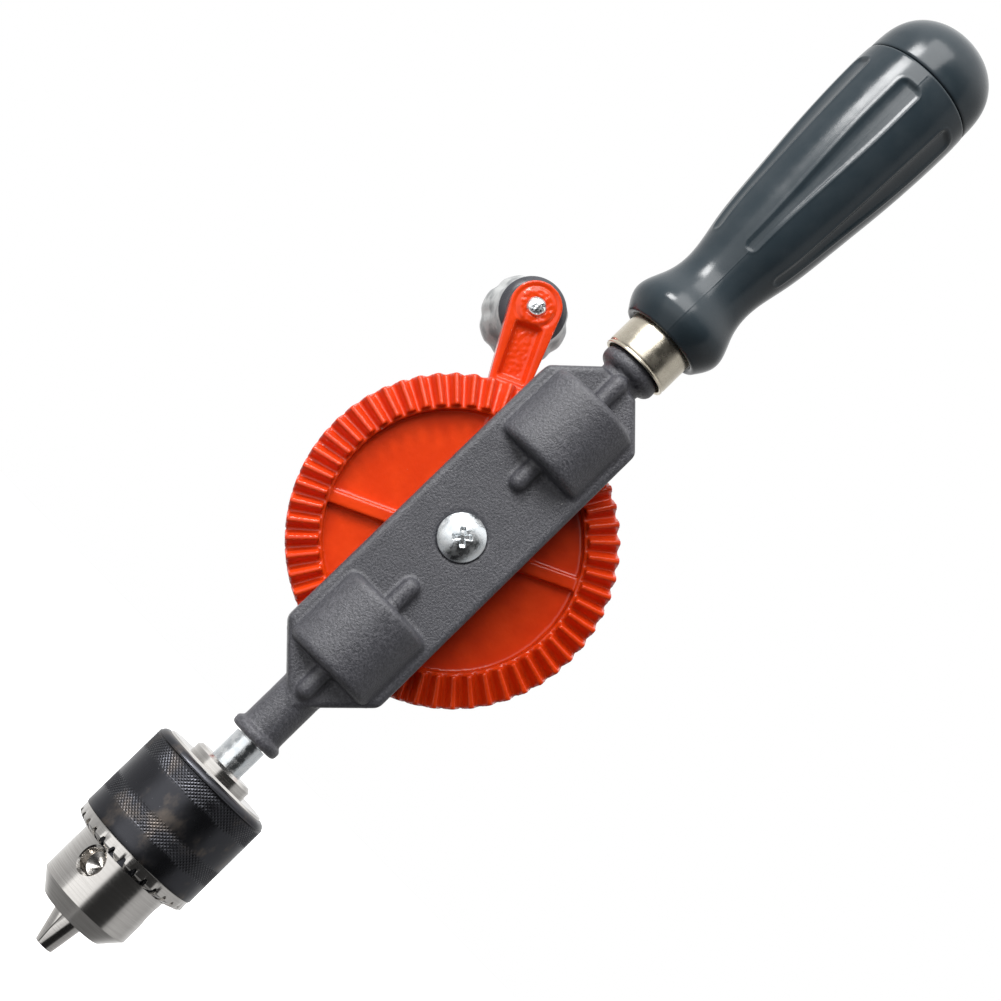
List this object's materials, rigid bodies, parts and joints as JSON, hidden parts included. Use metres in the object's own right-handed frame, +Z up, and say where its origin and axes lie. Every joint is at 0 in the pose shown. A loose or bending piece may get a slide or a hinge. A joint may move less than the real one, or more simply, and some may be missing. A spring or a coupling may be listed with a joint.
{
  "type": "hand drill",
  "caption": "Crank-driven hand drill with a bevel gear wheel, two pinions, a keyed three-jaw chuck and a hollow handle with a screw cap.",
  "frame": {"origin": "mouth of the closed jaws, on the spindle axis", "axes": "+Z up the spindle from the jaws to the handle; the flat of the frame faces -Y, and the wheel, crank and knob are on the +Y side; at rest the crank leans from +Z towards -X"},
  "size_m": [0.084, 0.0651, 0.319],
  "materials": {
    "casting": "dark grey textured paint on a die casting",
    "enamel": "glossy orange-red enamel on a casting",
    "zinc": "bright zinc plate",
    "nickel": "satin nickel plate",
    "ground_steel": "ground and turned steel",
    "black_oxide": "black oxide on knurled steel, with a bright toothed ring",
    "hidden_steel": "plain steel, lightly oiled",
    "bronze": "sintered bronze",
    "grip_plastic": "dark slate moulded plastic",
    "knob_plastic": "light grey mottled moulded plastic",
    "collar_plastic": "dark grey moulded plastic"
  },
  "bodies": {
    "frame_body": {"frame": "casting", "axle_screw": "zinc", "axle_bush": "hidden_steel", "axle_washers": "zinc", "axle_nut": "zinc", "front_bush": "bronze", "end_bush": "bronze", "handle_rod": "hidden_steel", "idler_washers": "hidden_steel", "ferrule": "nickel", "handle": "grip_plastic"},
    "wheel": {"gear_wheel": "enamel", "crank_pin": "zinc"},
    "knob_group": {"knob": "knob_plastic", "knob_collar": "collar_plastic"},
    "spindle_group": {"spindle": "zinc", "drive_pinion": "hidden_steel", "pinion_pin": "hidden_steel", "pinion_washer": "hidden_steel", "thrust_races": "hidden_steel", "thrust_balls": "hidden_steel", "chuck_body": "ground_steel"},
    "idler": {"idler_pinion": "hidden_steel"},
    "sleeve_group": {"chuck_sleeve": "black_oxide", "split_nut": "hidden_steel"},
    "jaw_1_body": {"jaw_1": "ground_steel"},
    "jaw_2_body": {"jaw_2": "ground_steel"},
    "jaw_3_body": {"jaw_3": "ground_steel"},
    "cap_body": {"handle_cap": "grip_plastic"}
  },
  "joints": [
    {"name": "crank_turn", "type": "hinge", "parent": "frame_body", "child": "wheel", "pos_m": [0, 0, 0.1374], "axis": [0, 1, 0], "continuous": true},
    {"name": "spindle_spin", "type": "hinge", "parent": "frame_body", "child": "spindle_group", "pos_m": [0, 0, 0.08], "axis": [0, 0, 1], "continuous": true},
    {"name": "idler_spin", "type": "hinge", "parent": "frame_body", "child": "idler", "pos_m": [0, 0, 0.175], "axis": [0, 0, 1], "continuous": true},
    {"name": "knob_spin", "type": "hinge", "parent": "wheel", "child": "knob_group", "pos_m": [-0.02779, 0.03, 0.19438], "axis": [0, 1, 0], "continuous": true},
    {"name": "sleeve_turn", "type": "hinge", "parent": "spindle_group", "child": "sleeve_group", "pos_m": [0, 0, 0.04], "axis": [0, 0, -1], "range_deg": [0, 3960]},
    {"name": "jaw_1_slide", "type": "slide", "parent": "spindle_group", "child": "jaw_1_body", "axis": [0.1255, -0.2264, 0.9659], "range_m": [0, 0.01652]},
    {"name": "jaw_2_slide", "type": "slide", "parent": "spindle_group", "child": "jaw_2_body", "axis": [0.1333, 0.2219, 0.9659], "range_m": [0, 0.01652]},
    {"name": "jaw_3_slide", "type": "slide", "parent": "spindle_group", "child": "jaw_3_body", "axis": [-0.2588, 0.0045, 0.9659], "range_m": [0, 0.01652]},
    {"name": "cap_pull", "type": "slide", "parent": "frame_body", "child": "cap_body", "axis": [0, 0, 1], "range_m": [0, 0.012]}
  ],
  "couplings": [
    {"joint": "spindle_spin", "follows": "crank_turn", "ratio": 4},
    {"joint": "idler_spin", "follows": "crank_turn", "ratio": -4},
    {"joint": "jaw_1_slide", "follows": "sleeve_turn", "m_per_rad": 0.00023759},
    {"joint": "jaw_2_slide", "follows": "sleeve_turn", "m_per_rad": 0.00023759},
    {"joint": "jaw_3_slide", "follows": "sleeve_turn", "m_per_rad": 0.00023759}
  ]
}
